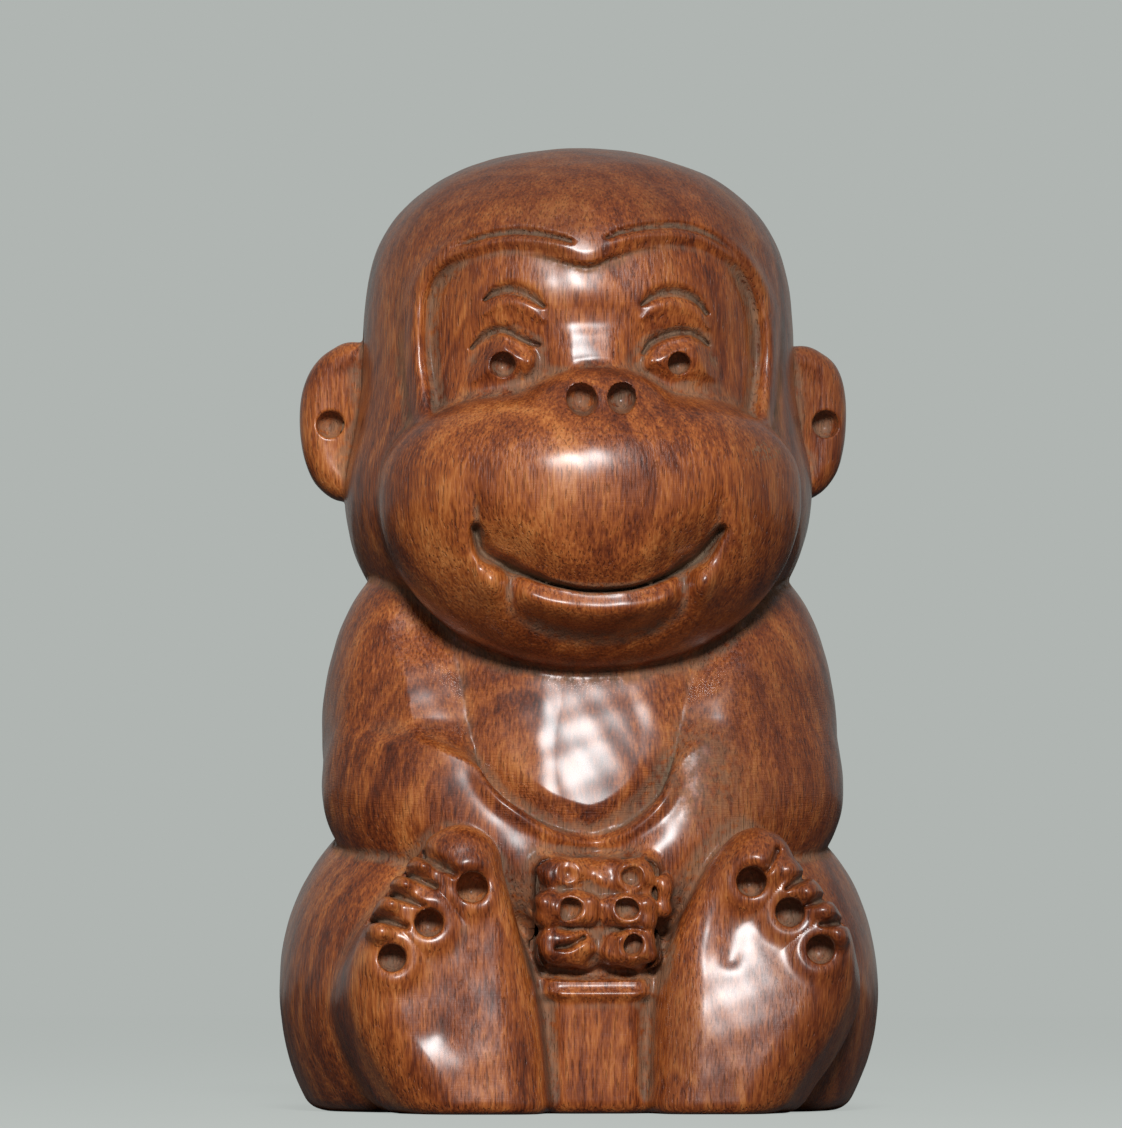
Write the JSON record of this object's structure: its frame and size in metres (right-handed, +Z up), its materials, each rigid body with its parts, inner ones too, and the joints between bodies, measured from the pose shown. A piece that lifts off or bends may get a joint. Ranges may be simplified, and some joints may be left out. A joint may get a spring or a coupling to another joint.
{
  "type": "monkey figurine",
  "caption": "Seated monkey carved in glossy red-brown hardwood: round head with a smiling muzzle, drilled eyes and ears, upright soles and joined fists, on a flat sawn base.",
  "frame": {"origin": "centre of the bounding box at the flat base", "axes": "+Z up through the head; the monkey faces -Y; +X is its own left, the viewer's right"},
  "size_m": [0.0434, 0.0374, 0.07],
  "materials": {
    "carved_wood": "red-brown hardwood with fine dark pores, waxed and handled to a gloss"
  },
  "bodies": {
    "root": {"head": "carved_wood", "face_plate": "carved_wood", "muzzle": "carved_wood", "jaw": "carved_wood", "ear_left": "carved_wood", "ear_right": "carved_wood", "chest": "carved_wood", "trunk": "carved_wood", "arm_left": "carved_wood", "arm_right": "carved_wood", "hand_left": "carved_wood", "hand_right": "carved_wood", "haunch_left": "carved_wood", "haunch_right": "carved_wood", "foot_left": "carved_wood", "foot_right": "carved_wood", "seat": "carved_wood"}
  },
  "joints": []
}
